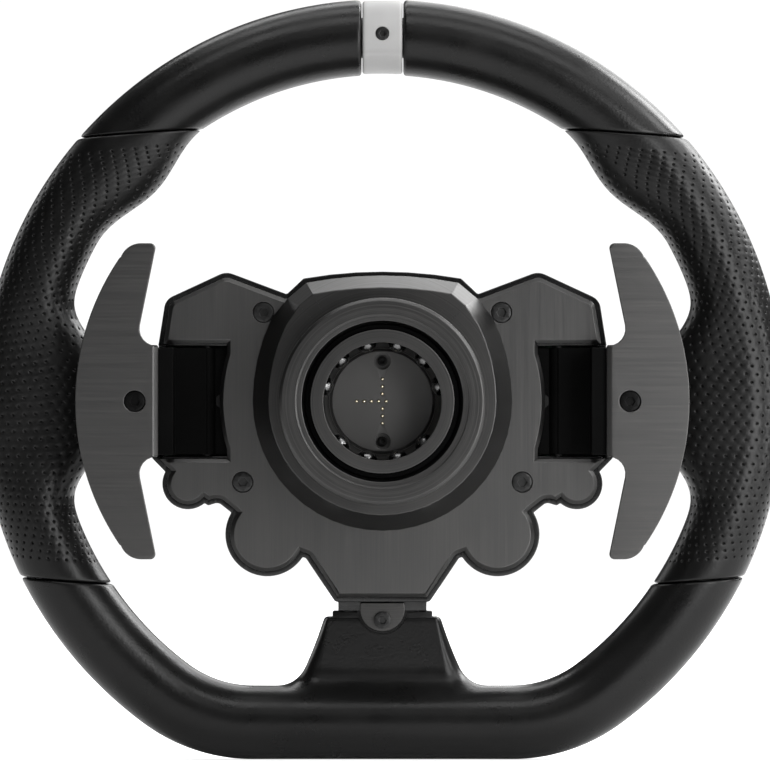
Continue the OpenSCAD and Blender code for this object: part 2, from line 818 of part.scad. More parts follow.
for (k = [0:3]) {
    button_cap(k);
    mirror([1, 0, 0]) button_cap(k);
}
hat_gimbal();  // left_hat_gimbal
hat_post();  // left_hat_post
hat_cap();  // left_hat_cap
mirror([1, 0, 0]) hat_gimbal();  // right_hat_gimbal
mirror([1, 0, 0]) hat_post();  // right_hat_post
mirror([1, 0, 0]) hat_cap();  // right_hat_cap
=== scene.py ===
import json
import math

import bmesh
import bpy
import numpy as np
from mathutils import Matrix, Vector

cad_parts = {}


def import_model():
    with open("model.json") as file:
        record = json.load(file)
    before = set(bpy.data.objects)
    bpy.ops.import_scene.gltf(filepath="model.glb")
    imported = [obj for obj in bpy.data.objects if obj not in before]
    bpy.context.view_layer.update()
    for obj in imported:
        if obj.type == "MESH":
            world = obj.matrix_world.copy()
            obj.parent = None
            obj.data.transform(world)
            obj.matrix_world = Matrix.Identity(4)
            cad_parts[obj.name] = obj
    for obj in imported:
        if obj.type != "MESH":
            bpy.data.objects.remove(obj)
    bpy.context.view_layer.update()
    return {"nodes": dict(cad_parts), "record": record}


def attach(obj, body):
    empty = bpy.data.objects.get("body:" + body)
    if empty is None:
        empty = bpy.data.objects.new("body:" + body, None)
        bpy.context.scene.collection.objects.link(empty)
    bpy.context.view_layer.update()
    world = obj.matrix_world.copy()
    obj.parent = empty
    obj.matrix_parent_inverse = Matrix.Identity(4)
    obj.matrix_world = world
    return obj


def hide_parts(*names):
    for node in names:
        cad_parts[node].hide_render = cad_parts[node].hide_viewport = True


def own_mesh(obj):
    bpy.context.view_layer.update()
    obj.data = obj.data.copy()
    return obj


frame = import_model()
nodes = frame["nodes"]

MM = 0.001

# ---- Sizes shared with the CAD, in millimetres. X across, Z up, Y towards the driver. ----

RIM_Y = 53.0            # middle of the rim's depth
PATH_R = 126.85         # centre line of the rim
HALF_W = 13.15          # half width of the rim's section
STRAIGHT = 1.85         # half of the section's straight side
CORE_R = 7.1            # bore that the metal core runs through
MARKER_HALF_W = 12.6
MARKER_HALF_LENGTH = 7.0
SEAM_GAP = 0.3          # clear gap between two coverings
UPPER_SEAM = (84.4, 93.1, -4.1)     # a point across and up, and the seam's tilt
LOWER_SEAM = (109.9, -62.4, 4.5)
LOWER_HALF_W = 12.75
BLEND_X = 45.3          # where the flat bottom ends
BLEND_DROP = 61.4
BLEND_R = 50.55
BLEND_START = 143.6     # angle from the top at which the circle turns into the lower corner
SPOKE_TOP = -75.2
SPOKE_Y = 54.8
SPOKE_HALF_DEPTH = 6.2
SKIN_GAP = 0.05         # a covering's skin lies this far inside the CAD's surface
GRIP_HALF_DEPTH = 15.0
SWELL_ANGLE, SWELL_HALF_ANGLE, SWELL_HEIGHT = 47, 14.2, 6       # the grip's bulge above the spoke
WING_ANGLE, WING_HALF_ANGLE, WING_REACH = 90, 13.4, 19          # the thumb rest that runs in to the spoke
# how a covering's end is tucked in: how far each row is from the end, and how deep it lies
TUCK_LENGTH = np.array([0.0, 0.12, 0.3, 0.55, 0.9, 1.4])
TUCK_DEPTH = np.array([1.5, 0.85, 0.42, 0.17, 0.04, 0.0])
MARKER_SCREW = (0, 127.5)       # across and up
TAB_CENTRE = (0, -72.3)
TAB_SCREW = (0, -76.1)
SCREW_BORE_R = 1.6


def smoothstep(x):
    x = np.clip(x, 0, 1)
    return x * x * (3 - 2 * x)


# ---- Mesh helpers ----

def mesh_piece(name, points, faces, smooth=True):
    """An object from points in millimetres."""
    mesh = bpy.data.meshes.new(name)
    mesh.from_pydata([tuple(p) for p in np.asarray(points) * MM], [], faces)
    mesh.validate()
    mesh.update()
    mesh.shade_smooth() if smooth else mesh.shade_flat()
    piece = bpy.data.objects.new(name, mesh)
    bpy.context.scene.collection.objects.link(piece)
    return piece


def ring_faces(rows, cols, close_rows=False):
    """Quads of a tube of rows of cols points; each row is a loop."""
    faces = []
    for i in range(rows if close_rows else rows - 1):
        a, b = i * cols, ((i + 1) % rows) * cols
        for j in range(cols):
            k = (j + 1) % cols
            faces.append((a + j, a + k, b + k, b + j))
    return faces


def outward(piece):
    """Turns every face outward."""
    bm = bmesh.new()
    bm.from_mesh(piece.data)
    bmesh.ops.recalc_face_normals(bm, faces=bm.faces)
    bm.to_mesh(piece.data)
    bm.free()
    return piece


def rod(place, y0, y1, radius, sides=64):
    """A plain round bar along Y, for cutting with."""
    turn = np.arange(sides) * 2 * math.pi / sides
    x, z = place[0] + radius * np.cos(turn), place[1] + radius * np.sin(turn)
    ends = [np.stack([x, np.full(sides, y), z], -1) for y in (y0, y1)]
    faces = ring_faces(2, sides) + [tuple(range(sides)), tuple(range(sides, 2 * sides))]
    return outward(mesh_piece("cutter", np.concatenate(ends), faces))


def combine(piece, other, operation):
    """Cuts other out of a piece, or joins it on, and removes other."""
    step = piece.modifiers.new("combine", "BOOLEAN")
    step.operation = operation
    step.object = other
    step.solver = "EXACT"
    bpy.context.view_layer.update()
    evaluated = piece.evaluated_get(bpy.context.evaluated_depsgraph_get())
    result = bpy.data.meshes.new_from_object(evaluated)
    piece.modifiers.clear()
    result.name = piece.name
    piece.data = result
    bpy.data.objects.remove(other)
    return piece


def rounded_block(name, low, high, radius, segments=3):
    """A block between two corners, in millimetres, with rounded edges."""
    bm = bmesh.new()
    bmesh.ops.create_cube(bm, size=1)
    for v in bm.verts:
        v.co = Vector([(low[i] + high[i]) / 2 + v.co[i] * (high[i] - low[i]) for i in range(3)]) * MM
    bmesh.ops.bevel(bm, geom=bm.edges[:], offset=radius * MM, segments=segments, profile=0.5, affect="EDGES")
    mesh = bpy.data.meshes.new(name)
    bm.to_mesh(mesh)
    bm.free()
    block = bpy.data.objects.new(name, mesh)
    bpy.context.scene.collection.objects.link(block)
    return block


# ---- The rim's path and section ----

def seam_angle(seam, r):
    """The angle from the top, in radians, at which the circle of radius r meets a seam."""
    tilt = math.radians(seam[2])
    h = seam[1] * math.cos(tilt) - seam[0] * math.sin(tilt)
    return np.arccos(np.clip(h / r, -1, 1)) - tilt


def section_angles(per_side=34):
    """Directions round the section: 0 is away from the hub, 90 degrees is towards the driver."""
    half = np.linspace(0, math.pi, per_side)
    return np.concatenate([half, half + math.pi])


def stadium(phi, half_w):
    """Across and deep of the round-edged section, in each of its directions."""
    side = np.where(np.arange(len(phi)) < len(phi) // 2, 1.0, -1.0)
    return half_w * np.cos(phi), half_w * np.sin(phi) + STRAIGHT * side


def on_circle(side, a, across, deep):
    """A point of the rim from its angle, in radians clockwise from the top of the driver's left side."""
    r = PATH_R + across
    return np.stack([side * r * np.sin(a), RIM_Y + deep, r * np.cos(a)], -1)


def end_profile(count, length):
    """Rows along a covering that is length millimetres long: their places from 0 to 1, with extra rows at
    both ends, and how far each is tucked in."""
    first = TUCK_LENGTH / length
    middle = np.linspace(first[-1], 1 - first[-1], count)
    places = np.concatenate([first[:-1], middle, 1 - first[:-1][::-1]])
    tuck = np.concatenate([TUCK_DEPTH[:-1], np.zeros(count), TUCK_DEPTH[:-1][::-1]])
    return places, tuck


def covering(name, skin, bore):
    """A closed covering: its skin from end to end, and the bore that it leaves for the core. Both are rows
    of the same number of points."""
    cols = skin.shape[1]
    rows = np.concatenate([skin, bore[::-1]])
    piece = mesh_piece(name, rows.reshape(-1, 3), ring_faces(len(rows), cols, close_rows=True))
    return outward(piece)


def core_circle(phi):
    """Across and deep of the bore for the metal core."""
    return CORE_R * np.cos(phi), CORE_R * np.sin(phi)


def wrap_row(side, t, across, deep):
    """Points of the upper wrap at place t, from the marker (0) to the upper seam (1)."""
    r = PATH_R + across
    start = np.arcsin((MARKER_HALF_LENGTH + SEAM_GAP) / r)
    end = seam_angle(UPPER_SEAM, r) - SEAM_GAP / 2 / r
    return on_circle(side, start + t * (end - start), across, deep)


def upper_wrap(name, side):
    """Smooth leather from the top marker to the upper seam."""
    phi = section_angles()
    places, tuck = end_profile(70, 70.0)
    skin = [wrap_row(side, t, *stadium(phi, HALF_W - SKIN_GAP - inset)) for t, inset in zip(places, tuck)]
    bore = [wrap_row(side, t, *core_circle(phi)) for t in np.linspace(0, 1, 24)]
    return covering(name, np.array(skin), np.array(bore))


def marker_row(t, across, deep):
    """Points of the marker at place t, from one end (0) to the other (1)."""
    x = (2 * t - 1) * (MARKER_HALF_LENGTH - SKIN_GAP)
    r = PATH_R + across
    return np.stack([np.full_like(across, x), RIM_Y + deep, np.sqrt(r * r - x * x)], -1)


def marker_band(name):
    """The light band at the top, with its closing seam."""
    # the seam is a groove along the band, on its rear face near the inner edge
    seam_across, seam_depth, seam_half_width = -5.9, 0.35, 0.35
    tuck_share = 0.6        # its ends are rounded less than the leather's
    phi = section_angles(60)
    places, tuck = end_profile(20, 2 * MARKER_HALF_LENGTH)
    skin = []
    for t, inset in zip(places, tuck):
        c, d = stadium(phi, MARKER_HALF_W - tuck_share * inset)
        groove = seam_depth * np.exp(-((c - seam_across) / seam_half_width) ** 2) * (d < 0)
        c, d = c * (1 - groove / MARKER_HALF_W), d * (1 - groove / MARKER_HALF_W)
        skin.append(marker_row(t, c, d))
    bore = [marker_row(t, *core_circle(phi)) for t in np.linspace(0, 1, 6)]
    return covering(name, np.array(skin), np.array(bore))


# ---- Perforated grips ----

def swell(a):
    """How far the grip's bulge stands in from the plain section, at a degrees from the top."""
    off = a - SWELL_ANGLE
    bulge = SWELL_HEIGHT * np.cos(np.radians(90 * off / SWELL_HALF_ANGLE)) ** 2
    return np.where(abs(off) < SWELL_HALF_ANGLE, bulge, 0)


def wing(a):
    """How far the thumb rest stands in from the plain section, at a degrees from the top."""
    return WING_REACH * np.exp(-(abs(a - WING_ANGLE) / WING_HALF_ANGLE) ** 4)


def grip_angle(t, r):
    """The angle from the top at which place t of the grip, from seam (0) to seam (1), meets a circle."""
    start = seam_angle(UPPER_SEAM, r) + SEAM_GAP / 2 / r
    end = seam_angle(LOWER_SEAM, r) - SEAM_GAP / 2 / r
    return start + t * (end - start)


def grip_section(side, t, phi, inset=0.0):
    """Points of the grip at place t, from the upper seam to the lower, in the directions phi."""
    thinning, squareness = 0.12, 0.85        # the wing is thinner, and the section is fuller than an ellipse
    c = np.cos(phi)
    reach = np.full_like(c, HALF_W)
    for _ in range(6):
        across = np.where(c > 0, (HALF_W - inset) * c, (reach - inset) * c)
        # the rows slant with the seams inside the plain section, and run straight inwards beyond it
        a = grip_angle(t, PATH_R + np.maximum(across, -HALF_W))
        degrees = np.degrees(a)
        reach = HALF_W + swell(degrees) + wing(degrees)
    thin = 1 - thinning * wing(degrees) / WING_REACH
    deep = thin * (GRIP_HALF_DEPTH - inset) * np.sign(np.sin(phi)) * abs(np.sin(phi)) ** squareness
    return on_circle(side, a, across, deep)


def grip_table(side, places, tuck, per_loop):
    """Rows of points of the grip, evenly spaced round the section, starting at its inner edge."""
    fine = np.linspace(math.pi, 3 * math.pi, 721)       # every half degree
    rows = []
    for t, inset in zip(places, tuck):
        p = grip_section(side, t, fine, inset)
        walked = np.concatenate([[0], np.cumsum(np.linalg.norm(np.diff(p, axis=0), axis=1))])
        wanted = np.linspace(0, walked[-1], per_loop, endpoint=False)
        rows.append(np.stack([np.interp(wanted, walked, p[:, k]) for k in range(3)], -1))
    return np.array(rows)


def perforated_grip(name, side):
    """Leather with punched holes in staggered rows, from the upper seam to the lower one."""
    hole_rows, hole_cols, quarter = 58, 30, 4
    plain = 2                                  # rows at each end without holes
    per_loop = hole_cols * quarter
    length = 172.0
    tucked = len(TUCK_LENGTH) - 1              # rows of each tucked end
    places, tuck = end_profile(2 * hole_rows + 1, length)
    table = grip_table(side, places, tuck, per_loop)
    rows, cols = table.shape[:2]
    points = [table.reshape(-1, 3)]
    count = rows * cols
    faces = []

    def at(i, j):
        return i * cols + j % cols

    # the tucked ends and the plain rows are ordinary quads
    first_hole, last_hole = tucked + 2 * plain, tucked + 2 * (hole_rows - plain)
    for i in list(range(first_hole)) + list(range(last_hole, rows - 1)):
        faces += [(at(i, j), at(i, j + 1), at(i + 1, j + 1), at(i + 1, j)) for j in range(cols)]

    # a hole has a rolled lip, a wall and a floor: radius and depth of each ring, in millimetres
    rings = ((0.72, 0.0), (0.47, 0.07), (0.38, 0.25), (0.34, 0.6))
    corners = 3 * quarter                      # a hole is joined to the edge of its cell
    # the first corner of a cell lies back along the grip and back round it
    turn = math.atan2(-1, -1) + np.arange(corners) * 2 * math.pi / corners
    tightest = 0.2                             # no hole where the leather bulges more than this across a cell
    for i in range(first_hole, last_hole, 2):
        shift = quarter // 2 if (i // 2) % 2 else 0
        for k in range(hole_cols):
            j = k * quarter + shift
            loop = [at(i, j + n) for n in range(quarter)] + [at(i, j + quarter), at(i + 1, j + quarter)]
            loop += [at(i + 2, j + quarter - n) for n in range(quarter)] + [at(i + 2, j), at(i + 1, j)]
            middle = table[i + 1, (j + 2) % cols]
            round_the_cell = np.mean([table[v // cols, v % cols] for v in loop], axis=0)
            if np.linalg.norm(round_the_cell - middle) > tightest:
                faces += [(at(m, n), at(m, n + 1), at(m + 1, n + 1), at(m + 1, n))
                          for m in (i, i + 1) for n in range(j, j + quarter)]
                continue
            along = table[i + 2, (j + 2) % cols] - table[i, (j + 2) % cols]
            round_ = table[i + 1, (j + 3) % cols] - table[i + 1, (j + 1) % cols]
            along, round_ = along / np.linalg.norm(along), round_ / np.linalg.norm(round_)
            into = np.cross(round_, along) * side
            into /= np.linalg.norm(into)
            round_ = np.cross(along, into) * side
            previous = loop
            for radius, depth in rings:
                circle = np.cos(turn)[:, None] * round_ + np.sin(turn)[:, None] * along
                points.append(middle + into * depth + radius * circle)
                now = list(range(count, count + corners))
                count += corners
                for n in range(corners):
                    m = (n + 1) % corners
                    faces.append((previous[n], previous[m], now[m], now[n]))
                previous = now
            faces.append(tuple(previous))

    # the bore
    fine = np.linspace(math.pi, 3 * math.pi, cols, endpoint=False)
    bore_rows = 40
    for t in np.linspace(1, 0, bore_rows):
        c, d = core_circle(fine)
        points.append(on_circle(side, grip_angle(t, PATH_R + c), c, d))
    for i in range(bore_rows + 1):
        a = (rows - 1) * cols if i == 0 else count + (i - 1) * cols
        b = count + i * cols if i < bore_rows else 0
        faces += [(a + j, a + (j + 1) % cols, b + (j + 1) % cols, b + j) for j in range(cols)]
    return outward(mesh_piece(name, np.concatenate(points), faces))


# ---- The lower covering, which runs up over the spoke ----

def rounded_join(a, b, reach):
    """The smaller of two distances, with a fillet where they meet."""
    h = np.clip(0.5 + 0.5 * (b - a) / reach, 0, 1)
    return b * (1 - h) + a * h - reach * h * (1 - h)


def spoke_distance(x, y, z):
    """Roughly how far a point is outside the shroud round the spoke, which ends inside the rim."""
    edge = 1.2              # rounding of the shroud's top
    down = np.maximum(SPOKE_TOP - z, 0)
    flat = 18.5 + 0.15 * down                           # half width of its flat faces
    width = 20.2 + 0.31 * down + 0.0040 * down ** 2     # half width over its round sides
    u = np.maximum(abs(x) - flat, 0) / (width - flat)
    v = (y - SPOKE_Y) / SPOKE_HALF_DEPTH
    size = np.sqrt(u * u + v * v) + 1e-9
    slope = np.sqrt((u / (width - flat)) ** 2 + (v / SPOKE_HALF_DEPTH) ** 2) / size
    body = (size - 1) / np.maximum(slope, 1e-6)
    body = np.maximum(body, -(BLEND_DROP + BLEND_R) - z)
    top = z - SPOKE_TOP
    return -rounded_join(-body, -top, edge)


def lower_place(t):
    """Path of the lower covering from the middle of the flat bottom (0) to the lower seam (1): x, z, the
    way out from the hub and the section's half width."""
    circle_start = math.radians(BLEND_START)
    circle_end = float(seam_angle(LOWER_SEAM, PATH_R))
    straight, corner = BLEND_X, BLEND_R * (math.pi - circle_start)
    circle = PATH_R * (circle_start - circle_end)
    s = t * (straight + corner + circle)
    if s < straight:
        a, x, z = math.pi, s, -(BLEND_DROP + BLEND_R)
    elif s < straight + corner:
        a = math.pi - (s - straight) / BLEND_R
        x, z = BLEND_X + BLEND_R * math.sin(a), -BLEND_DROP + BLEND_R * math.cos(a)
    else:
        a = circle_start - (s - straight - corner) / PATH_R
        x, z = PATH_R * math.sin(a), PATH_R * math.cos(a)
    half_w = LOWER_HALF_W + (HALF_W - SKIN_GAP - LOWER_HALF_W) * float(smoothstep((t - 0.2) / 0.8))
    return x, z, math.sin(a), math.cos(a), half_w


def lower_columns():
    """Directions round the lower section, closer together where the spoke's faces are."""
    reaches = np.linspace(9.5, 36.3, 30)        # from the rim's middle to places up the spoke
    driver_face = np.degrees(np.arctan2(SPOKE_Y + SPOKE_HALF_DEPTH - RIM_Y, reaches))
    rear_face = np.degrees(np.arctan2(RIM_Y - SPOKE_Y + SPOKE_HALF_DEPTH, reaches))
    corner = np.linspace(1.6, 0.2, 8)
    inner = np.concatenate([
        180 - driver_face,
        180 - driver_face[-1] + np.linspace(0.2, 2.2, 9),
        np.linspace(180 - driver_face[-1] + 3.5, 180 + rear_face[-1] - 3.2, 9),
        180 + rear_face[-1] - corner,
        180 + rear_face[::-1],
    ])
    first, last = inner[0], inner[-1]
    outer = np.arange(last + 3.5 - 360, first - 2.5, 3.6)
    return np.radians(np.concatenate([outer, inner]))


def lower_covering(name):
    """Smooth leather from one lower seam to the other, with the shroud round the spoke."""
    circle_length = 53          # about as long as the part on the rim's circle is, on each side
    half_length = 132           # about as long as one side is
    fillet = 7.0                # between the rim and the shroud
    phi = lower_columns()
    straight_share = BLEND_X / (BLEND_X + BLEND_R * math.radians(180 - BLEND_START) + circle_length)
    # the rows are closer together where the shroud is
    near = np.linspace(0, 1, 95)[1:] * 0.86 * straight_share
    tuck_places = TUCK_LENGTH[::-1] / half_length
    far = np.linspace(near[-1], 1 - tuck_places[0], 62)[1:]
    half = np.concatenate([near, far, 1 - tuck_places[1:]])
    half_tuck = np.concatenate([np.zeros(len(near) + len(far)), TUCK_DEPTH[:-1][::-1]])
    places = np.concatenate([-half[::-1], [0], half])
    tuck = np.concatenate([half_tuck[::-1], [0], half_tuck])
    lean_start = straight_share + 0.35
    skin = []
    steps = np.arange(0.5, 42, 0.25)
    for t, inset in zip(places, tuck):
        side = 1 if t >= 0 else -1
        x0, z0, out_x, out_z, half_w = lower_place(abs(t))

        def field(reach):
            across, deep = reach * np.cos(phi)[:, None], reach * np.sin(phi)[:, None]
            beyond = np.maximum(abs(deep) - STRAIGHT, 0)
            rim = np.sqrt(across ** 2 + beyond ** 2) - (half_w - inset)
            if abs(x0) > BLEND_X:
                return rim
            x = np.full_like(across, x0)
            return rounded_join(rim, spoke_distance(x, RIM_Y + deep, z0 - across), fillet)

        # the surface lies where the field first turns positive
        outside = field(np.repeat(steps[None, :], len(phi), 0)) > 0
        first = np.argmax(outside, 1)
        low, high = steps[np.maximum(first - 1, 0)], steps[first]
        for _ in range(14):
            middle = (low + high) / 2
            out_there = field(middle[:, None])[:, 0] > 0
            high, low = np.where(out_there, middle, high), np.where(out_there, low, middle)
        across, deep = low * np.cos(phi), low * np.sin(phi)
        x, z = x0 + out_x * across, z0 + out_z * across
        if abs(t) > lean_start:
            # the last stretch leans over until it lies along the seam
            lean = smoothstep((abs(t) - lean_start) / (1 - lean_start))
            r = np.hypot(x, z)
            own = np.arctan2(x, z)
            middle_end = float(seam_angle(LOWER_SEAM, PATH_R))
            own = own + lean * (seam_angle(LOWER_SEAM, r) + SEAM_GAP / 2 / r - middle_end)
            x, z = r * np.sin(own), r * np.cos(own)
        skin.append(np.stack([side * x, RIM_Y + deep, z], -1))
    bore = []
    for t in np.linspace(-1, 1, 70):
        side = 1 if t >= 0 else -1
        x0, z0, out_x, out_z, _ = lower_place(abs(t))
        c, d = core_circle(phi)
        bore.append(np.stack([side * (x0 + out_x * c), RIM_Y + d, z0 + out_z * c], -1))
    return covering(name, np.array(skin), np.array(bore))


def sharp_seams(piece, angle=40):
    """Keeps the edges of cut recesses crisp while the rest stays smooth."""
    piece.data.shade_smooth()
    piece.data.set_sharp_from_angle(angle=math.radians(angle))
    return piece


def shroud(name):
    """The lower covering with the lip at the top of the spoke, the seat of the tab and its screw's bore."""
    piece = lower_covering(name)
    lip = rounded_block("lip", (-17.4, 48.9, -77), (17.4, 60.6, -73.2), 0.5)
    combine(piece, lip, "UNION")
    combine(piece, rod(TAB_CENTRE, 40, 49.6, 8.9), "DIFFERENCE")
    combine(piece, rod(TAB_SCREW, 40, 58, SCREW_BORE_R, 32), "DIFFERENCE")
    return sharp_seams(piece)


def marker(name):
    """The marker band with the seat of its screw and the screw's bore."""
    piece = marker_band(name)
    combine(piece, rod(MARKER_SCREW, 30, 40.55, 2.45, 48), "DIFFERENCE")
    combine(piece, rod(MARKER_SCREW, 30, 52, SCREW_BORE_R, 32), "DIFFERENCE")
    return sharp_seams(piece)


# ---- The collar's spring ----

SPRING_SEAT_Y = 16.5
SPRING_STOP_Y = 29.5
SPRING_R = 26.3
SPRING_WIRE_R = 0.7
SPRING_TURNS = 4.5


def coil_spring(name, steps=48, sides=12):
    """The collar's spring as a round wire."""
    rows = round(SPRING_TURNS * steps) + 1
    turn = np.linspace(0, SPRING_TURNS * 2 * math.pi, rows)[:, None]
    middle = np.linspace(SPRING_SEAT_Y + SPRING_WIRE_R, SPRING_STOP_Y - SPRING_WIRE_R, rows)[:, None]
    round_wire = np.arange(sides)[None, :] * 2 * math.pi / sides
    reach = SPRING_R + SPRING_WIRE_R * np.cos(round_wire)
    y = middle + SPRING_WIRE_R * np.sin(round_wire)
    points = np.stack([reach * np.cos(turn), y, reach * np.sin(turn)], -1)
    last = (rows - 1) * sides
    faces = ring_faces(rows, sides) + [tuple(range(sides)), tuple(range(last, last + sides))]
    return outward(mesh_piece(name, points.reshape(-1, 3), faces))


# each new piece, the CAD node that it stands for, and its material slot
pieces = []
for side, word in ((1, "left"), (-1, "right")):
    pieces.append((upper_wrap(f"{word}_wrap_leather", side), f"upper_{word}_wrap", "smooth_leather"))
    pieces.append((perforated_grip(f"{word}_grip_leather", side), f"{word}_grip", "perforated_leather"))
pieces.append((shroud("lower_leather"), "lower_wrap", "smooth_leather"))
pieces.append((marker("marker_band"), "centre_marker", "marker_leather"))
spring = coil_spring("coil_spring")
pieces.append((spring, "qr_spring", "spring_steel"))
for piece, node, slot in pieces:
    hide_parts(node)
    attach(piece, "root")
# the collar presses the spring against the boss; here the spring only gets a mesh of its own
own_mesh(spring)


# ---- Materials ----

class Nodes:
    """A short way to build a material's node tree. Its textures lie in the object's own space, in metres."""

    def __init__(self, name):
        self.material = bpy.data.materials.new(name)
        self.material.use_nodes = True
        self.tree = self.material.node_tree
        self.shader = self.tree.nodes["Principled BSDF"]
        self.place = self.node("TexCoord").outputs["Object"]

    def node(self, kind, **settings):
        made = self.tree.nodes.new("ShaderNode" + kind)
        for key, value in settings.items():
            setattr(made, key, value)
        return made

    def link(self, source, target):
        self.tree.links.new(source, target)

    def stretched(self, scale):
        """The place scaled differently along each axis."""
        made = self.node("Mapping")
        made.inputs["Scale"].default_value = scale
        self.link(self.place, made.inputs["Vector"])
        return made.outputs["Vector"]

    def noise(self, scale, detail=3.0, vector=None, roughness=0.55):
        made = self.node("TexNoise")
        made.inputs["Scale"].default_value = scale
        made.inputs["Detail"].default_value = detail
        made.inputs["Roughness"].default_value = roughness
        self.link(vector if vector is not None else self.place, made.inputs["Vector"])
        return made.outputs["Fac"]

    def voronoi(self, scale, feature):
        made = self.node("TexVoronoi")
        made.feature = feature
        made.inputs["Scale"].default_value = scale
        self.link(self.place, made.inputs["Vector"])
        return made.outputs["Distance"]

    def spread(self, value, low, high, source_low=0.3, source_high=0.7):
        """Stretches a texture's usual range to low to high."""
        made = self.node("MapRange")
        made.inputs["From Min"].default_value = source_low
        made.inputs["From Max"].default_value = source_high
        made.inputs["To Min"].default_value = low
        made.inputs["To Max"].default_value = high
        self.link(value, made.inputs["Value"])
        return made.outputs["Result"]

    def math(self, operation, a, b):
        made = self.node("Math", operation=operation)
        for socket, value in zip(made.inputs, (a, b)):
            if isinstance(value, (int, float)):
                socket.default_value = value
            else:
                self.link(value, socket)
        return made.outputs["Value"]

    def colours(self, value, low, high):
        """Base colour between two, by a value from 0 to 1."""
        made = self.node("Mix", data_type="RGBA")
        made.inputs["A"].default_value = (*low, 1)
        made.inputs["B"].default_value = (*high, 1)
        self.link(value, made.inputs["Factor"])
        self.link(made.outputs["Result"], self.shader.inputs["Base Color"])

    def bump(self, height, distance, strength=1.0, before=None):
        made = self.node("Bump")
        made.inputs["Strength"].default_value = strength
        made.inputs["Distance"].default_value = distance
        self.link(height, made.inputs["Height"])
        if before is not None:
            self.link(before, made.inputs["Normal"])
        self.link(made.outputs["Normal"], self.shader.inputs["Normal"])
        return made.outputs["Normal"]

    def set(self, **values):
        names = {"rough": "Roughness", "metal": "Metallic", "specular": "Specular IOR Level",
                 "coat": "Coat Weight", "coat_rough": "Coat Roughness"}
        for key, value in values.items():
            self.shader.inputs[names[key]].default_value = value


def grey(value, warmth=0.0):
    return (value * (1 + warmth), value, value * (1 - warmth))


def leather(name, low, high, rough, depth=0.00005, wrinkle=0.00005):
    """Leather with pores depth metres deep over shallow folds wrinkle metres deep."""
    m = Nodes(name)
    m.colours(m.spread(m.noise(38, 4), 0, 1), low, high)
    cells = m.voronoi(1150, "SMOOTH_F1")
    folds = m.noise(300, 5)
    m.link(m.spread(m.noise(90, 4), rough - 0.05, rough + 0.06), m.shader.inputs["Roughness"])
    first = m.bump(folds, wrinkle, 0.5)
    m.bump(cells, depth, 0.7, before=first)
    m.set(specular=0.27)
    return m.material


def mixed(m, grain, broad, share):
    """A fine texture over a broad one, with the fine one's share."""
    return m.math("ADD", m.math("MULTIPLY", grain, share), m.math("MULTIPLY", broad, 1 - share))


def brushed(name, low, high, rough, along):
    """Metal with a straight grain. along is the axis that the grain runs along."""
    m = Nodes(name)
    across_scale, along_scale = 2600.0, 30.0
    scale = [across_scale] * 3
    scale["XYZ".index(along)] = along_scale
    grain = m.noise(1.0, 2, m.stretched(scale))
    m.colours(m.spread(mixed(m, grain, m.noise(28, 3), 0.6), 0, 1), low, high)
    m.link(m.spread(grain, rough - 0.03, rough + 0.04), m.shader.inputs["Roughness"])
    m.bump(grain, 0.000010, 0.2)
    m.set(metal=1.0)
    return m.material


def turned(name, low, high, rough):
    """Metal with the fine rings of a lathe round the wheel's axis."""
    rings = 2200        # scale of the rings
    m = Nodes(name)
    parts = m.node("SeparateXYZ")
    m.link(m.place, parts.inputs["Vector"])
    x, z = parts.outputs["X"], parts.outputs["Z"]
    radius = m.math("SQRT", m.math("ADD", m.math("MULTIPLY", x, x), m.math("MULTIPLY", z, z)), 0)
    made = m.node("TexNoise", noise_dimensions="1D")
    made.inputs["Scale"].default_value = rings
    made.inputs["Detail"].default_value = 2
    m.link(radius, made.inputs["W"])
    grain = made.outputs["Fac"]
    m.colours(m.spread(mixed(m, grain, m.noise(35, 3), 0.5), 0, 1), low, high)
    m.link(m.spread(grain, rough - 0.05, rough + 0.06), m.shader.inputs["Roughness"])
    m.bump(grain, 0.00001, 0.3)
    m.set(metal=1.0)
    return m.material


def plastic(name, low, high, rough, grain=1500, depth=0.00002, specular=0.5):
    """Moulded plastic or dull black coating with a fine texture."""
    m = Nodes(name)
    m.colours(m.spread(m.noise(45, 3), 0, 1), low, high)
    texture = m.noise(grain, 2)
    m.link(m.spread(m.noise(120, 3), rough - 0.04, rough + 0.05), m.shader.inputs["Roughness"])
    m.bump(texture, depth, 0.5)
    m.set(specular=specular)
    return m.material


def metal_plain(name, low, high, rough):
    """Metal with no direction in its surface."""
    m = Nodes(name)
    m.colours(m.spread(m.noise(200, 3), 0, 1), low, high)
    m.link(m.spread(m.noise(600, 3), rough - 0.05, rough + 0.07), m.shader.inputs["Roughness"])
    m.bump(m.noise(1800, 2), 0.000006, 0.3)
    m.set(metal=1.0)
    return m.material


def circuit_board(name):
    """Dark green lacquer with lighter tracks between its islands."""
    m = Nodes(name)
    weave = m.noise(900, 2)
    islands = m.voronoi(260, "DISTANCE_TO_EDGE")
    m.colours(m.spread(islands, 0, 1, 0.03, 0.12), (0.02, 0.05, 0.03), (0.006, 0.016, 0.01))
    m.bump(weave, 0.00001, 0.4)
    m.set(rough=0.35, coat=0.3, coat_rough=0.2)
    return m.material


def light_window(name):
    """Smoked window with faint stripes across it, for the row of lights behind it."""
    m = Nodes(name)
    stripes = m.noise(1.0, 0, m.stretched((420.0, 1.0, 1.0)))
    m.colours(m.spread(stripes, 0, 1), (0.01, 0.01, 0.011), (0.035, 0.035, 0.04))
    m.bump(m.noise(600, 2), 0.000005, 0.2)
    m.set(rough=0.08, specular=0.6)
    return m.material


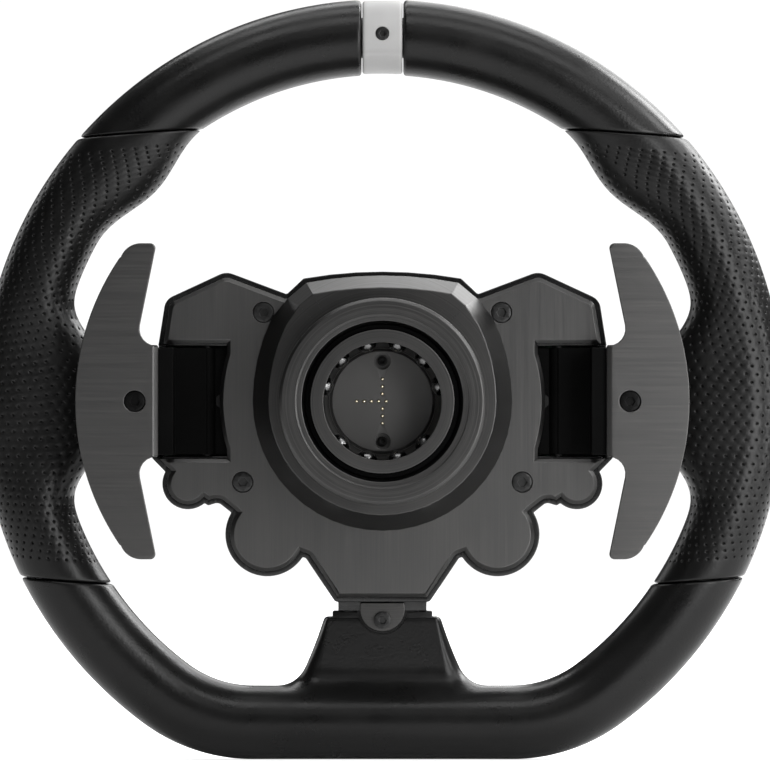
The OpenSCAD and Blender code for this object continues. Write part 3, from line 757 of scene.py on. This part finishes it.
finishes = {
    "smooth_leather": leather("smooth_leather", grey(0.0030), grey(0.0050, 0.02), 0.30),
    "perforated_leather": leather("perforated_leather", grey(0.0022), grey(0.0038, 0.02), 0.34),
    "marker_leather": leather("marker_leather", grey(0.30, 0.004), grey(0.34, 0.006), 0.42,
                              depth=0.00002, wrinkle=0.00004),
    "frame_aluminium": metal_plain("frame_aluminium", grey(0.10), grey(0.13), 0.42),
    "black_screws": metal_plain("black_screws", grey(0.030), grey(0.055), 0.38),
    "housing_plastic": plastic("housing_plastic", grey(0.004), grey(0.006), 0.24),
    "fascia_aluminium": brushed("fascia_aluminium", grey(0.060), grey(0.100), 0.36, "X"),
    "plate_aluminium": brushed("plate_aluminium", grey(0.086), grey(0.104, 0.02), 0.38, "Z"),
    "paddle_aluminium": brushed("paddle_aluminium", grey(0.082), grey(0.096, 0.02), 0.40, "X"),
    "boss_aluminium": turned("boss_aluminium", grey(0.052), grey(0.078, 0.02), 0.40),
    "circuit_board": circuit_board("circuit_board"),
    "switch_plastic": plastic("switch_plastic", grey(0.02), grey(0.04), 0.45),
    "light_window": light_window("light_window"),
    "polished_steel": metal_plain("polished_steel", grey(0.13), grey(0.17), 0.26),
    "spring_steel": metal_plain("spring_steel", grey(0.30), grey(0.42), 0.30),
    "socket_aluminium": turned("socket_aluminium", grey(0.054), grey(0.080, 0.02), 0.38),
    "stop_ring_steel": plastic("stop_ring_steel", grey(0.001), grey(0.002), 0.6, specular=0.03),
    "contact_plastic": plastic("contact_plastic", grey(0.036, 0.03), grey(0.046, 0.03), 0.5),
    "gold_contacts": metal_plain("gold_contacts", (0.84, 0.74, 0.52), (0.93, 0.85, 0.66), 0.22),
    "arm_steel": plastic("arm_steel", grey(0.001), grey(0.002), 0.6, specular=0.04),
    "blackened_steel": metal_plain("blackened_steel", grey(0.008), grey(0.014), 0.42),
    "coated_magnet": plastic("coated_magnet", grey(0.004), grey(0.007), 0.5, specular=0.2),
    "button_plastic": plastic("button_plastic", grey(0.018), grey(0.028), 0.42),
    "red_button_plastic": plastic("red_button_plastic", (0.42, 0.012, 0.010), (0.55, 0.02, 0.015), 0.35),
    "stick_metal": metal_plain("stick_metal", grey(0.40), grey(0.50), 0.28),
    "stick_rubber": plastic("stick_rubber", grey(0.012), grey(0.020), 0.62, grain=900, depth=0.00005),
}

for piece, node, slot in pieces:
    piece.data.materials.append(finishes[slot])

slot_of = {row["node"]: row["material_slot"] for row in frame["record"]["subparts"]}


def outer_outline(node, y):
    """Marks the edges round a node's flat face at depth y for a wider chamfer."""
    grid = 1e6          # places are compared in whole micrometres
    mesh = node.data
    spot = [tuple(round(c * grid) for c in v.co) for v in mesh.vertices]
    level = round(y * MM * grid)
    uses = {}
    for polygon in mesh.polygons:
        corners = [spot[v] for v in polygon.vertices]
        if all(abs(c[1] - level) <= 1 for c in corners):
            for p, q in zip(corners, corners[1:] + corners[:1]):
                edge = (min(p, q), max(p, q))
                uses[edge] = uses.get(edge, 0) + 1
    beside = {}
    for (p, q), count in uses.items():
        if count == 1:
            beside.setdefault(p, set()).add(q)
            beside.setdefault(q, set()).add(p)
    # the point farthest across lies on the outer loop
    todo = [max(beside)]
    found = set(todo)
    while todo:
        for q in beside[todo.pop()] - found:
            found.add(q)
            todo.append(q)
    weight = mesh.attributes.new("bevel_weight_edge", "FLOAT", "EDGE")
    for i, edge in enumerate(mesh.edges):
        p, q = (spot[v] for v in edge.vertices)
        if p in found and q in beside[p]:
            weight.data[i].value = 1.0


def add_bevel(node, width, segments, method="ANGLE"):
    """Rounds edges sharper than 30 degrees, or those with a bevel weight."""
    edge = node.modifiers.new("edge", "BEVEL")
    edge.width = width * MM
    edge.segments = segments
    edge.use_clamp_overlap = False
    edge.loop_slide = False
    edge.limit_method = method
    edge.angle_limit = math.radians(30)


def dress(name, finish, bevel=0.0, outline=None):
    """A CAD node's material and rounded edges. outline is the depth of a flat face and the width of the
    chamfer round it."""
    node = nodes[name]
    node.data.materials.clear()
    node.data.materials.append(finishes[finish])
    if not bevel:
        return
    node.modifiers.new("weld", "WELD").merge_threshold = 0.000001
    if outline:
        outer_outline(node, outline[0])
        add_bevel(node, outline[1], 1, "WEIGHT")
    add_bevel(node, bevel, 2)
    normals = node.modifiers.new("normals", "WEIGHTED_NORMAL")
    normals.weight = 100
    normals.keep_sharp = False


# rounding of each node's edges, in millimetres
edge_rounds = {
    "hub_housing": 0.35, "front_fascia": 0.4, "back_plate": 0.12, "rear_boss": 0.35, "spoke_tab": 0.3,
    "left_paddle": 0.3, "right_paddle": 0.3, "left_paddle_arm": 0.3, "right_paddle_arm": 0.3,
    "qr_collar": 0.25, "qr_socket": 0.2, "collar_stop_ring": 0.15, "contact_plate": 0.12, "light_bar": 0.15,
    "case_screws": 0.15, "contact_screws": 0.12, "rim_screws": 0.15, "qr_bolts": 0.15,
    "left_paddle_screw": 0.15, "right_paddle_screw": 0.15,
}
BUTTON_ROUND = 0.5
outlines = {"back_plate": (42.0, 1.3)}
# nodes whose finish differs from the rest of their material slot
own_finish = {
    "left_paddle": "paddle_aluminium", "right_paddle": "paddle_aluminium", "stop_magnets": "coated_magnet",
    "left_arm_magnet": "coated_magnet", "right_arm_magnet": "coated_magnet", "pivot_pins": "coated_magnet",
    "left_paddle_screw": "blackened_steel", "right_paddle_screw": "blackened_steel",
    "contact_screws": "blackened_steel",
}
for name in nodes:
    if nodes[name].hide_render:     # a new piece stands for it
        continue
    rounding = BUTTON_ROUND if "_button_" in name else edge_rounds.get(name, 0.0)
    dress(name, own_finish.get(name, slot_of[name]), rounding, outlines.get(name))


# ---- Floor, light and camera ----

def stage():
    """A round pale floor just under the wheel."""
    floor_z, radius = -0.125, 2.2
    mesh = bpy.data.meshes.new("floor")
    turn = [math.radians(a) for a in range(0, 360, 6)]
    ring = [(radius * math.cos(a), radius * math.sin(a), floor_z) for a in turn]
    mesh.from_pydata(ring, [], [tuple(range(len(ring)))])
    floor = bpy.data.objects.new("floor", mesh)
    bpy.context.scene.collection.objects.link(floor)
    m = Nodes("floor_paper")
    m.colours(m.spread(m.noise(6, 2), 0, 1), (0.82, 0.82, 0.82), (0.86, 0.86, 0.86))
    m.set(rough=0.9, specular=0.0)
    m.shader.inputs["Emission Color"].default_value = (1, 1, 1, 1)
    # it glows for the camera alone, so that it runs out into the white background
    glow = m.math("MULTIPLY", m.node("LightPath").outputs["Is Camera Ray"], 0.8)
    m.link(glow, m.shader.inputs["Emission Strength"])
    floor.data.materials.append(m.material)


def world():
    """White where the camera sees it, and faint as a light."""
    seen_strength, light_strength = 1.05, 0.05
    made = bpy.data.worlds.new("studio")
    bpy.context.scene.world = made
    made.use_nodes = True
    tree = made.node_tree
    tree.nodes.clear()
    output = tree.nodes.new("ShaderNodeOutputWorld")
    mix = tree.nodes.new("ShaderNodeMixShader")
    path = tree.nodes.new("ShaderNodeLightPath")
    seen = tree.nodes.new("ShaderNodeBackground")
    lighting = tree.nodes.new("ShaderNodeBackground")
    seen.inputs["Color"].default_value = (1, 1, 1, 1)
    seen.inputs["Strength"].default_value = seen_strength
    lighting.inputs["Color"].default_value = (1, 1, 1, 1)
    lighting.inputs["Strength"].default_value = light_strength
    tree.links.new(path.outputs["Is Camera Ray"], mix.inputs["Fac"])
    tree.links.new(lighting.outputs["Background"], mix.inputs[1])
    tree.links.new(seen.outputs["Background"], mix.inputs[2])
    tree.links.new(mix.outputs["Shader"], output.inputs["Surface"])


def soft_light(name, place, size, watts):
    """A rectangular light that faces the rim's middle, in metres."""
    aim = (0, 0.05, 0)
    data = bpy.data.lights.new(name, "AREA")
    data.shape = "RECTANGLE"
    data.size, data.size_y = size
    data.energy = watts
    lamp = bpy.data.objects.new(name, data)
    bpy.context.scene.collection.objects.link(lamp)
    lamp.location = place
    towards = tuple(a - p for a, p in zip(aim, place))
    lamp.rotation_mode = "QUATERNION"
    lamp.rotation_quaternion = Vector(towards).to_track_quat("-Z", "Y")


def lights():
    """Soft lights round the wheel, most of them high up or on the photograph's right."""
    soft_light("key", (1.0, -0.6, 1.0), (0.9, 0.9), 4.5)
    soft_light("key_side", (1.25, -0.05, 0.95), (0.5, 0.9), 10)
    soft_light("key_behind", (1.1, 0.9, 1.0), (0.6, 0.8), 20)
    soft_light("right_strip", (1.3, -0.5, 0.0), (0.2, 0.9), 8)
    soft_light("top_behind", (0, 0.9, 1.2), (1.4, 0.5), 8.5)
    soft_light("top", (0, 0.1, 1.45), (1.4, 0.5), 8)
    soft_light("top_front", (0, -0.7, 1.25), (1.4, 0.5), 7)
    soft_light("top_low", (0, -1.4, 0.9), (1.2, 0.4), 1.0)
    soft_light("near_right", (0.40, -0.52, 0.12), (0.25, 0.5), 2.9)
    soft_light("left_front", (-1.0, -1.2, 0.2), (0.4, 1.2), 0.4)
    soft_light("driver_side", (0.6, 1.7, 0.9), (1.4, 1.0), 12)
    soft_light("driver_fill", (-1.2, 1.3, 0.3), (0.6, 1.2), 4)


def camera():
    """The photograph's view, level from behind the wheel."""
    data = bpy.data.cameras.new("camera")
    data.sensor_width = 36
    view_width = 268.5          # millimetres across the picture, at the rim
    place = (0.9, -2450.0, 5.6)
    data.lens = data.sensor_width * (RIM_Y - place[1]) / view_width
    cam = bpy.data.objects.new("camera", data)
    bpy.context.scene.collection.objects.link(cam)
    cam.location = tuple(v * MM for v in place)
    cam.rotation_euler = (math.pi / 2, 0, 0)
    data.clip_end = 50
    bpy.context.scene.camera = cam


stage()
world()
lights()
camera()
bpy.context.scene.view_settings.view_transform = "Standard"
